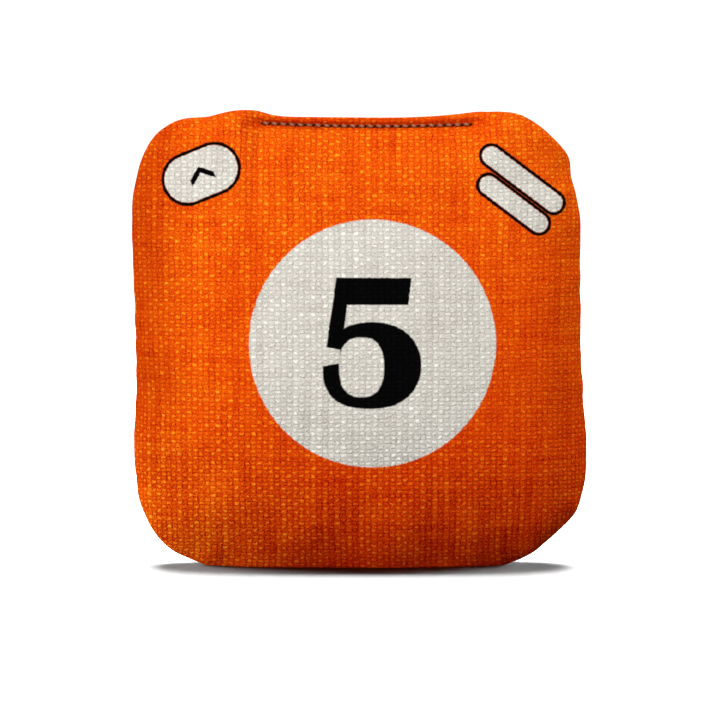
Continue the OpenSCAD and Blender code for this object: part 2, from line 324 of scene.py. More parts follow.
slow_skin = stuffed_side(-1, SLOW_CLOTH, 3)
fast_skin = stuffed_side(1, FAST_CLOTH, 11)
print("bag thickness in mm:", round(float(fast_skin[..., 1].max() - slow_skin[..., 1].min()), 1))

# %% [markdown]
# ## Cloth with two faces and a turned-in edge
# A maker sews the two squares inside out and turns the bag, so each edge rolls
# over the seam and lies flat inside as a 9.5 mm allowance. The panel is therefore
# one closed shell: the outer skin, the roll, the allowance and the lining. Cloth
# coordinates, in mm along the yarns, go with it as a UV map.


# %% Grids and rings to one mesh
def yarn_coordinates(skin):
    """Place along the cloth across and up, in mm: that of the grid's middle line, plus
    the distance over the cloth from there."""
    def run(axis, place):
        step = np.linalg.norm(np.diff(skin, axis=axis), axis=-1)
        total = np.pad(np.cumsum(step, axis=axis), [(1 - axis, 0), (axis, 0)])
        start = np.take(place - total, [GRID // 2], axis=axis)
        return total + start

    return np.stack([run(0, skin[..., 0]), run(1, skin[..., 2])], -1)


def rim_order():
    """Grid indices once round the border, counter-clockwise from the lower left."""
    i = np.arange(GRID - 1)
    last = GRID - 1
    return np.concatenate([
        i * GRID,
        last * GRID + i,
        (last - i) * GRID + last,
        last - i,
    ])


def grid_faces(start, turned):
    """Quads of a grid whose points begin at index start."""
    at = start + np.arange(GRID * GRID).reshape(GRID, GRID)
    quads = np.stack([at[:-1, :-1], at[1:, :-1], at[1:, 1:], at[:-1, 1:]], -1).reshape(-1, 4)
    return quads[:, ::-1] if turned else quads


def band_faces(rings, turned):
    """Quads between closed rings of indices, each ring to the next."""
    quads = [
        np.stack([a, np.roll(a, -1), np.roll(b, -1), b], -1) for a, b in zip(rings, rings[1:])
    ]
    quads = np.concatenate(quads)
    return quads[:, ::-1] if turned else quads


def face_normals(skin):
    """Unit normals of a grid of points, from the cross product of its two slopes."""
    normal = np.cross(np.gradient(skin, axis=0), np.gradient(skin, axis=1))
    return normal / np.maximum(np.linalg.norm(normal, axis=-1, keepdims=True), 1e-9)


def make_mesh(name, points_mm, faces):
    """New object at the origin from points in mm and quads or triangles."""
    faces = np.asarray(faces)
    mesh = bpy.data.meshes.new(name)
    mesh.vertices.add(len(points_mm))
    mesh.vertices.foreach_set("co", (np.asarray(points_mm) * MM).astype(np.float32).ravel())
    mesh.loops.add(faces.size)
    mesh.loops.foreach_set("vertex_index", faces.astype(np.int32).ravel())
    mesh.polygons.add(len(faces))
    starts = np.arange(0, faces.size, faces.shape[1], dtype=np.int32)
    mesh.polygons.foreach_set("loop_start", starts)
    mesh.update(calc_edges=True)
    mesh.validate()
    mesh.polygons.foreach_set("use_smooth", np.ones(len(faces), bool))
    piece = bpy.data.objects.new(name, mesh)
    scene.collection.objects.link(piece)
    return piece


def give_uv(piece, layer, uv):
    """Stores one pair of numbers for each vertex as a UV map."""
    corner = np.zeros(len(piece.data.loops), np.int32)
    piece.data.loops.foreach_get("vertex_index", corner)
    piece.data.uv_layers.new(name=layer).data.foreach_set(
        "uv", uv[corner].astype(np.float32).ravel()
    )


ALLOWANCE = 9.5
SEAM_GAP = 0.03
ROLL_TURNS = np.radians([30, 60, 90])
STRIP_MM = 5
RUN_MM = (0.4, 0.9, 1.4, 5, 9.5, 10.4, 15)


def panel(name, skin, direction, cloth):
    """Closed shell of one side. The rings after the skin's border roll over the seam by
    a quarter circle, run in along the seam plane, turn at the cut edge and come back.
    RUN_MM is roughly how far over the cloth each of them lies from the border."""
    rim = rim_order()
    normal = face_normals(skin) * direction * -1
    lining = skin - normal * cloth
    border = skin.reshape(-1, 3)[rim]
    inward = np.zeros_like(border)
    inward[:, 0::2] = MIDDLE - border[:, 0::2]
    inward /= np.linalg.norm(inward, axis=1)[:, None]
    insets = [*cloth * (1 - np.cos(ROLL_TURNS)), STRIP_MM, ALLOWANCE, ALLOWANCE, STRIP_MM]
    depths = [*cloth * (1 - np.sin(ROLL_TURNS)), 0, 0, cloth, cloth]
    rings = []
    for inset, depth in zip(insets, depths):
        ring = border + inward * inset
        ring[:, 1] = direction * (depth + SEAM_GAP)
        rings.append(ring)
    points = np.concatenate([skin.reshape(-1, 3), lining.reshape(-1, 3), *rings])
    points[:, 2] = np.clip(points[:, 2], 0, None)
    count = GRID * GRID
    index = [rim] + [2 * count + k * len(rim) + np.arange(len(rim)) for k in range(len(rings))]
    index.append(count + rim)
    turned = direction > 0
    faces = np.concatenate([
        grid_faces(0, turned),
        grid_faces(count, not turned),
        band_faces(index, not turned),
    ])
    yarn = yarn_coordinates(skin).reshape(-1, 2)
    edge = yarn[rim]
    outward = edge - MIDDLE
    outward /= np.linalg.norm(outward, axis=1)[:, None]
    strips = [edge + outward * run for run in RUN_MM]
    piece = make_mesh(name, points, faces)
    give_uv(piece, "yarns", np.concatenate([yarn, yarn, *strips]))
    print(name, "has", len(faces), "quads")
    return piece


slow_side = panel("slow_side_cloth", slow_skin, -1, SLOW_CLOTH)
fast_side = panel("fast_side_cloth", fast_skin, 1, FAST_CLOTH)

# %% [markdown]
# ## Threads
# A lockstitch has a needle thread on one side of the cloth and a bobbin thread on
# the other. Each is a tube swept along a path. Three plies are twisted into the
# thread, so the tube's radius swells and falls three times round, and that
# pattern turns as it goes along.


# %% A twisted thread along a path
PLY_TWIST = 2.1


def tube(path, radius, sides):
    """Points and triangles of a tube with a fan over each end. Its radius is the
    thread's radius times one plus a ninth of the cosine of three times the angle,
    turned by the length over the length of one twist."""
    along = np.gradient(path, axis=0)
    along /= np.linalg.norm(along, axis=1)[:, None]
    side = np.cross(along, [0.0, 1.0, 0.0])
    side /= np.linalg.norm(side, axis=1)[:, None]
    upward = np.cross(side, along)
    step = np.linalg.norm(np.diff(path, axis=0), axis=1)
    length = np.concatenate([[0], np.cumsum(step)])[:, None]
    turn = np.linspace(0, 2 * np.pi, sides, endpoint=False)[None]
    swell = radius * (1 + np.cos(3 * (turn - 2 * np.pi * length / PLY_TWIST)) / 9)
    swell = swell[..., None]
    points = (
        path[:, None]
        + np.cos(turn)[..., None] * side[:, None] * swell
        + np.sin(turn)[..., None] * upward[:, None] * swell
    )
    at = np.arange(len(path) * sides).reshape(-1, sides)
    quads = band_faces(list(at), True)
    first = np.full(sides, at.size)
    triangles = np.concatenate([
        quads[:, [0, 1, 2]],
        quads[:, [0, 2, 3]],
        np.stack([first, np.roll(at[0], -1), at[0]], -1),
        np.stack([first + 1, at[-1], np.roll(at[-1], -1)], -1),
    ])
    return np.concatenate([points.reshape(-1, 3), path[[0, -1]]]), triangles


STITCH = 2.9
THREAD_R, HIDDEN_R = 0.43, 0.25
THREAD_LIFT, HOLE_DEPTH = 0.16, 0.75
SEAM_ROWS = {"outer": 1.9, "inner": 5.0}


def closure_path(skin, direction):
    """Line of the topstitching: over the lip from hole to hole, and down at each hole."""
    stitches = round((CLOSURE_ENDS[1] - CLOSURE_ENDS[0]) / STITCH)
    place = np.linspace(0, stitches, stitches * 16 + 1)
    x = np.interp(place, [0, stitches], CLOSURE_ENDS)
    z = closure_line(x)
    near = skin.reshape(-1, 3)
    near = near[near[:, 2] > MIDDLE[1] * 1.8]
    gap = (x[:, None] - near[None, :, 0]) ** 2 + (z[:, None] - near[None, :, 2]) ** 2
    surface = np.abs(near[np.argmin(gap, axis=1), 1])
    surface = np.convolve(np.pad(surface, 12, mode="edge"), np.ones(25) / 25, "valid")
    hop = np.abs(np.sin(np.pi * place)) ** 0.55
    lift = (THREAD_R + THREAD_LIFT) * hop - HOLE_DEPTH * (1 - hop)
    tilt = 0.16 * np.sin(2 * np.pi * place)
    return np.column_stack([x, direction * (surface + lift), z + tilt])


def seam_path(inset, y):
    """Line of a hidden seam row: the outline moved in by inset, from the right end of
    the closure round the foot to the left end, weaving a little in and out."""
    ring = closed_curve(OUTLINE_MM, 1500)
    ring[:, 1] = np.clip(ring[:, 1], 0, None)
    inward = MIDDLE - ring
    ring = ring + inward / np.linalg.norm(inward, axis=1)[:, None] * inset
    start = nearest(ring, [(CLOSURE_ENDS[1], BAG_HIGH[2])])[0]
    end = nearest(ring, [(CLOSURE_ENDS[0], BAG_HIGH[2])])[0]
    order = np.arange(start, end - len(ring) if end > start else end, -1) % len(ring)
    ring = ring[order]
    length = np.concatenate([[0], np.cumsum(np.linalg.norm(np.diff(ring, axis=0), axis=1))])
    wave = 0.12 * np.cos(2 * np.pi * length / STITCH)
    return np.column_stack([ring[:, 0], np.full(len(ring), y) + np.sign(y) * wave, ring[:, 1]])


threads = []
for kind, skin, direction in (("needle", slow_skin, -1), ("bobbin", fast_skin, 1)):
    shape = tube(closure_path(skin, direction), THREAD_R, 12)
    threads.append(make_mesh("closure_" + kind + "_stitches", *shape))
for row, inset in SEAM_ROWS.items():
    for kind, direction, cloth in (("needle", -1, SLOW_CLOTH), ("bobbin", 1, FAST_CLOTH)):
        depth = cloth + HIDDEN_R + 0.2
        shape = tube(seam_path(inset, direction * depth), HIDDEN_R, 6)
        threads.append(make_mesh(row + "_seam_" + kind + "_stitches", *shape))
print("threads:", [thread.name for thread in threads])

# %% [markdown]
# ## Pellets
# The bag is filled with round resin pellets of about 5 mm. They could be left out,
# since nobody sees them, but they are what makes the bag a bag. They are packed on
# a face-centred lattice, jittered, and kept where they fit inside the cloth.

# %% Pellets inside the cloth
PELLET_D = 4.9
PELLET_GAP, PELLET_JITTER = 1.4, 0.05
CELL_MM, CELLS = 2.0, 100
CELL_START = (-100, -20)


def cell_of(x, z, margin):
    """Indices of the map cells that hold the places, at least margin from its border."""
    steps = [(place - start) / CELL_MM for place, start in zip((x, z), CELL_START)]
    return tuple(np.clip(step.astype(int), margin, CELLS - 1 - margin) for step in steps)


def depth_map(skin):
    """Greatest depth of a skin over each square cell of the seam plane, as a lookup that
    gives the least of a cell and its eight neighbours."""
    found = np.zeros((CELLS, CELLS))
    np.maximum.at(found, cell_of(skin[..., 0], skin[..., 2], 0), np.abs(skin[..., 1]))

    def look(x, z):
        i, j = cell_of(x, z, 1)
        return np.minimum.reduce([found[i + a, j + b] for a in (-1, 0, 1) for b in (-1, 0, 1)])

    return look


def pellet_centres():
    """Lattice points, jittered, that have a pellet's room inside both sides."""
    step = PELLET_D * np.sqrt(2) * 0.99
    axes = [np.arange(low, high, step) for low, high in ((-78, 78), (-27, 27), (3.4, 136))]
    base = np.stack(np.meshgrid(*axes, indexing="ij"), -1).reshape(-1, 3)
    offsets = np.array([(0, 0, 0), (0.5, 0.5, 0), (0.5, 0, 0.5), (0, 0.5, 0.5)]) * step
    centres = (base[:, None] + offsets[None]).reshape(-1, 3)
    jitter = np.random.default_rng(5).uniform(-PELLET_JITTER, PELLET_JITTER, centres.shape)
    centres += jitter
    room = PELLET_D / 2 + PELLET_GAP
    front, back = depth_map(slow_skin), depth_map(fast_skin)
    x, y, z = centres.T
    inside = (-y < front(x, z) - room) & (y < back(x, z) - room)
    lane = np.linalg.norm(outline[None, ::8] - centres[:, None, 0::2], axis=-1).min(1)
    clear = (np.abs(y) > room + 0.9) | (lane > ALLOWANCE + 3)
    return centres[inside & clear & (lane > 3.5)]


def bead():
    """Points and triangles of a unit bead: an octahedron with each face cut in four."""
    axes = np.concatenate([np.eye(3), -np.eye(3)])
    signs = np.array([(a, b, c) for a in (0, 3) for b in (1, 4) for c in (2, 5)])
    points, faces = list(axes), []
    for a, b, c in signs:
        if (a > 2) ^ (b > 3) ^ (c > 4):
            b, c = c, b
        mids = [axes[p] + axes[q] for p, q in ((a, b), (b, c), (c, a))]
        ids = [len(points) + k for k in range(3)]
        points += [m / np.linalg.norm(m) for m in mids]
        faces += [(a, ids[0], ids[2]), (b, ids[1], ids[0]), (c, ids[2], ids[1]), tuple(ids)]
    points, same = np.unique(np.round(points, 6), axis=0, return_inverse=True)
    return points, same.ravel()[np.array(faces)]


centres = pellet_centres()
bead_points, bead_faces = bead()
pellets = make_mesh(
    "resin_pellets",
    (centres[:, None] + bead_points[None] * PELLET_D / 2).reshape(-1, 3),
    (np.arange(len(centres))[:, None, None] * len(bead_points) + bead_faces[None]).reshape(-1, 3),
)
print("pellets:", len(centres), "triangles:", len(pellets.data.polygons))

# %% [markdown]
# ## Writing shader maths as sums
# A weave is arithmetic on the yarn coordinates. Wired by hand it would be a
# hundred nodes, so a small class wraps a socket, and each operator adds the Math
# node that does it.


# %% Sockets with operators
class Value:
    """A number that varies over the surface: one output socket of a material."""

    def __init__(self, finish, socket):
        self.finish, self.socket = finish, socket

    def math(self, operation, *others):
        """The result of one Math node on this value and up to two others."""
        wired = dict(enumerate((self, *others)))
        return self.finish.node("ShaderNodeMath", {"operation": operation}, wired)

    def __add__(self, other):
        return self.math("ADD", other)

    def __sub__(self, other):
        return self.math("SUBTRACT", other)

    def __rsub__(self, other):
        return (self * -1) + other

    def __mul__(self, other):
        return self.math("MULTIPLY", other)

    def __truediv__(self, other):
        return self.math("DIVIDE", other)

    def __rtruediv__(self, other):
        return self.math("POWER", -1.0) * other

    def __pow__(self, other):
        return self.math("POWER", other)

    def __neg__(self):
        return self * -1

    __radd__, __rmul__ = __add__, __mul__

    def low(self, other):
        return self.math("MINIMUM", other)

    def high(self, other):
        return self.math("MAXIMUM", other)

    def clamp(self):
        return self.high(0.0).low(1.0)

    def ramp(self, low, high):
        """Rises evenly from 0 at low to 1 at high."""
        return ((self - low) / (high - low)).clamp()


class Finish:
    """A material under construction, with one method that adds any node."""

    def __init__(self, name):
        self.material = bpy.data.materials.new(name)
        self.material.use_nodes = True
        self.tree = self.material.node_tree
        self.shader = self.tree.nodes["Principled BSDF"]

    def node(self, kind, settings=None, inputs=None, output=0):
        """Adds a node: its settings first, then a value or a link for each input."""
        made = self.tree.nodes.new(kind)
        for name, value in (settings or {}).items():
            if name == "stops":
                for element, (position, colour) in zip(self.stops(made, len(value)), value):
                    element.position, element.color = position, (*colour, 1)
            else:
                setattr(made, name, value)
        for key, value in (inputs or {}).items():
            self.put(made.inputs[key], value)
        return Value(self, made.outputs[output])

    def stops(self, made, count):
        """The stops of a colour ramp, as many as are needed."""
        while len(made.color_ramp.elements) < count:
            made.color_ramp.elements.new(0.5)
        return made.color_ramp.elements

    def put(self, socket, value):
        """Links a Value to a socket, or sets the socket's own value."""
        if isinstance(value, Value):
            self.tree.links.new(value.socket, socket)
        else:
            socket.default_value = value

    def set(self, **values):
        """Sets inputs of the main shader, named with underscores for spaces."""
        for name, value in values.items():
            self.put(self.shader.inputs[name.replace("_", " ")], value)

    def blend(self, kind, share, a, b):
        """Colour a with colour b laid over it in one of the mixing kinds."""
        return self.node(
            "ShaderNodeMix", {"data_type": "RGBA", "blend_type": kind},
            {0: share, 6: a, 7: b}, output=2,
        )

    def mix(self, share, a, b):
        """Colour a where share is 0 and b where it is 1."""
        return self.blend("MIX", share, a, b)

    def ramp(self, share, stops):
        """A colour that runs through the stops as share goes from 0 to 1."""
        return self.node("ShaderNodeValToRGB", {"stops": stops}, {0: share})

    def vector(self, x, y, z=0.0):
        """Three values as one vector."""
        return self.node("ShaderNodeCombineXYZ", {}, {0: x, 1: y, 2: z})

    def noise(self, x, y, detail=2.0):
        """Smooth noise from 0 to 1 over the plane of two values."""
        return self.node(
            "ShaderNodeTexNoise", {"noise_dimensions": "2D"},
            {"Vector": self.vector(x, y), "Scale": 1.0, "Detail": detail},
        )

    def dice(self, x, y, seed=0.0):
        """A random number from 0 to 1 for each pair of whole numbers."""
        return self.node(
            "ShaderNodeTexWhiteNoise", {"noise_dimensions": "3D"},
            {"Vector": self.vector(x + 0.5, y + 0.5, seed)},
        )

    def split(self, vector):
        """The three numbers of a vector."""
        first = self.node("ShaderNodeSeparateXYZ", {}, {0: vector})
        return [Value(self, socket) for socket in first.socket.node.outputs]

    def place(self):
        """Object coordinates in mm: across, depth and height."""
        at = self.node("ShaderNodeTexCoord", output=3)
        return [part * (1 / MM) for part in self.split(at)]

    def yarns(self):
        """Yarn coordinates in mm, from the UV map that the panels carry."""
        return self.split(self.node("ShaderNodeUVMap", {"uv_map": "yarns"}))[:2]

    def bump(self, height, distance):
        """Raises the surface by height, from 0 to 1, times a distance in metres."""
        self.set(Normal=self.node(
            "ShaderNodeBump", {}, {"Height": height, "Distance": distance, "Strength": 1.0}
        ))


# %% [markdown]
# ## The print
# The bag is printed like the number five ball: an orange ground, a white roundel
# and a black numeral. The print is worked out from the place on the bag, as flat
# shapes whose edge is where a value crosses zero. Ink soaks in yarn by yarn, so
# the place is first drawn part of the way to the middle of its yarn crossing.

# %% Roundel, numeral and marks
ROUNDEL_MM = (4.3, 75.6)
ROUNDEL_R = 40.6
PRINT_SCALE = 0.978
EDGE_BLUR = 0.2
CHEVRON_FALL, CHEVRON_HALF = 0.8, 1.1


def inside(distance):
    """1 where a signed distance in mm is below zero, with a soft edge."""
    return distance.ramp(EDGE_BLUR, -EDGE_BLUR)


def squarish(x, y, centre, half, power):
    """Below zero inside a squarish ellipse, in mm along its shorter half axis."""
    u = ((x - centre[0]) / half[0]).math("ABSOLUTE") ** power
    v = ((y - centre[1]) / half[1]).math("ABSOLUTE") ** power
    return ((u + v) ** (1 / power) - 1) * min(half)


def beyond(x, y, a, b):
    """Distance in mm to the right of the line from a to b."""
    along = np.array(b, float) - np.array(a, float)
    along /= np.linalg.norm(along)
    return (x - float(a[0])) * float(along[1]) - (y - float(a[1])) * float(along[0])


def five(x, y):
    """Signed distance to a numeral five about the roundel's centre: a bar and a stem
    cut by straight lines, and a bowl that is one squarish ellipse less another, with
    its tail cut off. Each line keeps its left side when walked from first to second."""
    slant = beyond(x, y, (-12.1, 22.2), (-15.5, -1.0))
    bar = slant.high(beyond(x, y, (12.0, 13.0), (13.2, 22.0)))
    bar = bar.high(beyond(x, y, (13.2, 22.0), (-12.1, 22.2))).high(13.0 - y)
    stem = slant.high(beyond(x, y, (-9.9, 1.5), (-8.6, 13.0))).high(y - 14.0)
    stem = stem.high(beyond(x, y, (-15.5, -1.0), (-10.3, -2.1)))
    round_bowl = squarish(x, y, (-0.2, -7.2), (16.5, 14.5), 2.2)
    square_bowl = squarish(x, y, (-0.2, -7.2), (16.5, 14.5), 2.7)
    bowl = round_bowl.low(square_bowl.high(x).high(y + 7.0))
    counter = squarish(x, y, (-3.7, -7.75), (7.5, 9.95), 2.5)
    tail_gap = (x + 10.9).high(beyond(x, y, (-16.4, -7.4), (-10.8, -6.4)))
    return bar.low(stem).low(bowl.high(-counter).high(-tail_gap))


def pill(x, y, centre, length, height, degrees):
    """Signed distance to a bar with round ends, turned about its centre."""
    turn = np.radians(degrees)
    along = (x - centre[0]) * np.cos(turn) + (y - centre[1]) * np.sin(turn)
    over = (y - centre[1]) * np.cos(turn) - (x - centre[0]) * np.sin(turn)
    past = (along.math("ABSOLUTE") - (length - height) / 2).high(0.0)
    return (past * past + over * over).math("SQRT") - height / 2, along, over


def chevron(along, over, middle, arm):
    """Signed distance to an upward chevron, arm wide on each side of its middle."""
    aside = (along - middle).math("ABSOLUTE")
    band = (over + aside * CHEVRON_FALL - arm * 0.35).math("ABSOLUTE") - CHEVRON_HALF
    return band.high(aside - arm)


# %% [markdown]
# ## Woven cloth
# In a plain weave each yarn goes over one and under the next. It could be modelled
# yarn by yarn, but a side has some eight thousand crossings, so it is a colour and
# a bump.
# Each crossing is a small pillow, one parabola across times one up, and stands
# higher where the warp is on top, which is at every second one. There it is also
# brighter, partly from dye on the yarn's top and partly as a painted highlight.
# Slubs and thin places come from noise drawn out along each yarn.

# %% The slow side's plain weave
WARP_PITCH, WEFT_PITCH = 2.0, 1.41
SNAP = 0.12


def plain_weave(finish):
    """Tone and height of a slubby plain weave, and the offsets within a crossing."""
    u, v = finish.yarns()
    drift = finish.noise(u * 0.03, v * 0.02, detail=1.0) - 0.5
    sway = finish.noise(u * 0.02 + 9.0, v * 0.03, detail=1.0) - 0.5
    shake = finish.noise(u * 0.5, v * 0.5 + 4.0, detail=1.0) - 0.5
    shiver = finish.noise(u * 0.5 + 7.0, v * 0.5, detail=1.0) - 0.5
    a = (u + drift * 1.4 + shake * 1.3) / WARP_PITCH
    b = (v + sway * 1.1 + shiver * 1.0) / WEFT_PITCH
    column, row = a.math("FLOOR"), b.math("FLOOR")
    x, y = a - column - 0.5, b - row - 0.5
    warp_over = ((column + row) * np.pi).math("COSINE")
    slub = finish.noise(column * 7.31, v * 0.03, detail=2.0) - 0.5
    weft_slub = finish.noise(u * 0.05, row * 5.17 + 40.0, detail=2.0) - 0.5
    dice, luck = finish.dice(column, row), finish.dice(column, row, 3.0)
    crown = (1 - (x * 2) ** 2.0) * (1 - (y * 2) ** 2.0)
    over = warp_over * 0.5 + 0.5
    # Crowns where the warp is on top get a bright dot: partly dye on the yarn's top, partly a painted
    # highlight.
    dye_and_highlight_dot = crown * crown * over * (dice * 0.75 + 0.25)
    fuzz = finish.noise(u * 1.9, v * 1.9, detail=4.0) - 0.5
    line = (x.math("ABSOLUTE") * 2) ** 7.0 * (luck ** 3.0)
    # The dots fade towards the right: less painted highlight away from the light on the left.
    lively = (slub * 1.6 + 0.85).high(0.15) * (1 - u.ramp(15.0, 60.0) * 0.35)
    tone = crown * (0.06 + luck * 0.1) + dye_and_highlight_dot * lively * 0.44 - line * 0.26 + slub * 0.26
    tone = tone + weft_slub * 0.25 + fuzz * 0.85 - 0.11
    tone = tone * (1 + v.ramp(60.0, 5.0) * 0.55) + 0.42
    height = crown * (0.35 + over * 0.3) + fuzz * 0.35
    return {"tone": tone, "height": height, "x": x, "y": y}


RIM = 1.1
# Length and height in mm and turn in degrees. The two bars share the last two.
BADGE = (25, 15.5, 22)
BAR = (6.2, -37)


def slow_marks(x, y):
    """One plain speed badge with a chevron, and two plain slanted bars."""
    badge, along, over = pill(x, y, (-52.4, 131.2), *BADGE)
    yield badge - RIM, "black"
    yield badge, "white"
    yield chevron(along, over, 0.0, 4.2), "black"
    upper, _, _ = pill(x, y, (54.0, 129.4), 32, *BAR)
    lower, _, _ = pill(x, y, (51.0, 121.2), 27, *BAR)
    yield upper.low(lower) - RIM, "black"
    yield upper.low(lower), "white"


def fast_marks(x, y):
    """The same badge with three chevrons, for the fast side."""
    badge, along, over = pill(x, y, (-50.0, 131.2), *BADGE)
    yield badge - RIM, "black"
    yield badge, "white"
    for k in (-1, 0, 1):
        yield chevron(along, over, 5.0 * k, 2.3), "black"


def print_masks(finish, weave, marks, mirror):
    """Shares of white and black ink over the cloth; later shapes cover earlier ones."""
    across, _, height = finish.place()
    x = across * (-1 if mirror else 1) - weave["x"] * (WARP_PITCH * SNAP)
    y = height - weave["y"] * (WEFT_PITCH * SNAP)
    cx, cy = x - (0.0 if mirror else ROUNDEL_MM[0]), y - ROUNDEL_MM[1]
    white = inside((cx * cx + cy * cy).math("SQRT") - ROUNDEL_R)
    black = inside(five(cx / PRINT_SCALE, cy / PRINT_SCALE))
    for shape, ink in marks(x, y):
        cover = inside(shape)
        if ink == "white":
            white = white.high(cover)
            black = black * (1 - cover)
        else:
            black = black.high(cover)
    return white, black


ORANGES = (
    (0.0, (0.25, 0.006, 0.001)), (0.25, (0.64, 0.048, 0.002)), (0.45, (0.76, 0.105, 0.003)),
    (0.7, (0.88, 0.24, 0.007)), (1.0, (0.98, 0.38, 0.025)),
)
WHITES = ((0.0, (0.33, 0.30, 0.26)), (0.42, (0.60, 0.57, 0.51)), (1.0, (0.95, 0.93, 0.87)))
BLACKS = ((0.0, (0.0006, 0.0006, 0.0006)), (1.0, (0.004, 0.004, 0.004)))

LOW_PAINTED_SHADE = (0.82, 0.43, 0.43, 1)
UNDERSIDE_PAINTED_SHADE = (0.72, 0.62, 0.62, 1)
LEFT_SIDE_PAINTED_SHADE = (0.64, 0.48, 0.48, 1)
CREASE_PAINTED_SHADE = (0.74, 0.36, 0.3, 1)
CREASE_MM, CREASE_HALF = (2.4, 147.6), (35.0, 2.3)


def crease(finish):
    """Share of shade in the fold at the topstitching, which runs past both its ends: one
    less the square of the distance from a shallow parabola, over half the fold."""
    across, _, height = finish.place()
    along = ((across - CREASE_MM[0]) / CREASE_HALF[0]).math("ABSOLUTE")
    bend = along.low(1.0)
    drop = (height - CREASE_MM[1] - bend * bend * 0.7) / CREASE_HALF[1]
    return (1 - drop * drop).clamp() * along.ramp(1.3, 0.95)


def slow_cloth():
    """The weave's tone picks a colour in each ink. Painted shade darkens the orange
    towards the foot and under it, less so at the left, where more light falls, and
    also along the left side and in the closure's fold."""
    finish = Finish("slow side plain weave")
    weave = plain_weave(finish)
    white, black = print_masks(finish, weave, slow_marks, False)
    orange, pale, ink = (finish.ramp(weave["tone"], stops) for stops in (ORANGES, WHITES, BLACKS))
    across, _, up = finish.place()
    # Painted shade: the orange darkens towards the bottom, and more just above the floor; it fades
    # out towards the left, where more light falls.
    away = across.ramp(-64.0, -12.0) * 0.9 + 0.1
    orange = finish.blend("MULTIPLY", up.ramp(130.0, 5.0) * away, orange, LOW_PAINTED_SHADE)
    orange = finish.blend("MULTIPLY", up.ramp(16.0, 2.0) * away, orange, UNDERSIDE_PAINTED_SHADE)
    # Painted shade along the left side, where the cloth turns away from the light.
    side = across.ramp(-54.0, -76.0) * up.ramp(20.0, 55.0)
    orange = finish.blend("MULTIPLY", side, orange, LEFT_SIDE_PAINTED_SHADE)
    # Painted shade in the fold at the topstitching and just past its ends.
    orange = finish.blend("MULTIPLY", crease(finish), orange, CREASE_PAINTED_SHADE)
    colour = finish.mix(black, finish.mix(white, orange, pale), ink)
    finish.set(Base_Color=colour, Roughness=0.9, Specular_IOR_Level=0.0)
    finish.bump(weave["height"], MM * 0.3)
    return finish.material


# %% [markdown]
# ## The fast side's twill
# The fast side slides, so it is a fine twill: each yarn passes over two and under
# one, one step further along in each row, which gives diagonal ribs. At arm's
# length only the ribs and a soft shine show.

# %% Twill
RIB, THREAD_PITCH = 1.1, 0.62
TWILL_ORANGES = ((0.42, 0.030, 0.002, 1), (0.92, 0.15, 0.004, 1))
TWILL_WHITES = ((0.60, 0.57, 0.53, 1), (0.82, 0.8, 0.76, 1))
# The thread's dark tone is painted shade in the stitch holes; its pale tone is the thread itself.
HOLE_SHADE_AND_THREAD_TONES = ((0.035, 0.008, 0.003, 1), (0.42, 0.16, 0.085, 1))
PELLET_TONES = ((0.62, 0.66, 0.70, 1), (0.82, 0.84, 0.85, 1))


def fast_cloth():
    """Ribs are the size of a sine across the diagonal, and the yarns in them another."""
    finish = Finish("fast side twill")
    u, v = finish.yarns()
    wobble = finish.noise(u * 0.12, v * 0.12, detail=2.0) - 0.5
    rib = (((u + v) / RIB + wobble * 0.8) * np.pi).math("SINE").math("ABSOLUTE")
    thread = ((v - u * 0.35) / THREAD_PITCH * np.pi).math("SINE") * 0.5 + 0.5
    height = rib ** 0.7 * (0.8 + thread * 0.2)
    weave = {"x": wobble * 0.5, "y": wobble * 0.5}
    white, black = print_masks(finish, weave, fast_marks, True)
    tone = (finish.noise(u * 0.05, v * 0.05, detail=3.0) * 0.3 + height * 0.6).clamp()
    orange, pale = finish.mix(tone, *TWILL_ORANGES), finish.mix(tone, *TWILL_WHITES)
    colour = finish.mix(white, orange, pale)
    colour = finish.mix(black, colour, finish.ramp(height.clamp(), BLACKS))
    finish.set(Base_Color=colour, Roughness=0.7, Specular_IOR_Level=0.04)
    finish.bump(height, MM * 0.2)
    return finish.material


def thread_finish():
    """Paler brown on top of each stitch and darkened between them by painted shade, where the thread
    dips into its holes, with a little fibre.
    """
    finish = Finish("sewing thread")
    x, y, z = finish.place()
    fibre = finish.noise(x * 2.3, (y + z) * 2.3, detail=3.0)
    bead = (((x - CLOSURE_ENDS[0]) / STITCH) * np.pi).math("SINE").math("ABSOLUTE")
    share = (bead ** 2.0 * 0.85 + fibre * 0.5 - 0.3).clamp()
    colour = finish.mix(share, *HOLE_SHADE_AND_THREAD_TONES)
    finish.set(Base_Color=colour, Roughness=0.9, Specular_IOR_Level=0.02)
    finish.bump(fibre, MM * 0.06)
    return finish.material


def pellet_finish():
    """Milky resin that varies from one part of the fill to another."""
    finish = Finish("resin pellets")
    x, y, z = finish.place()
    cloud = finish.noise(x * 0.2 + z * 0.11, y * 0.2 + z * 0.17, detail=2.0)
    finish.set(
        Base_Color=finish.mix(cloud, *PELLET_TONES),
        Roughness=0.38, Coat_Weight=0.1,
    )
    return finish.material


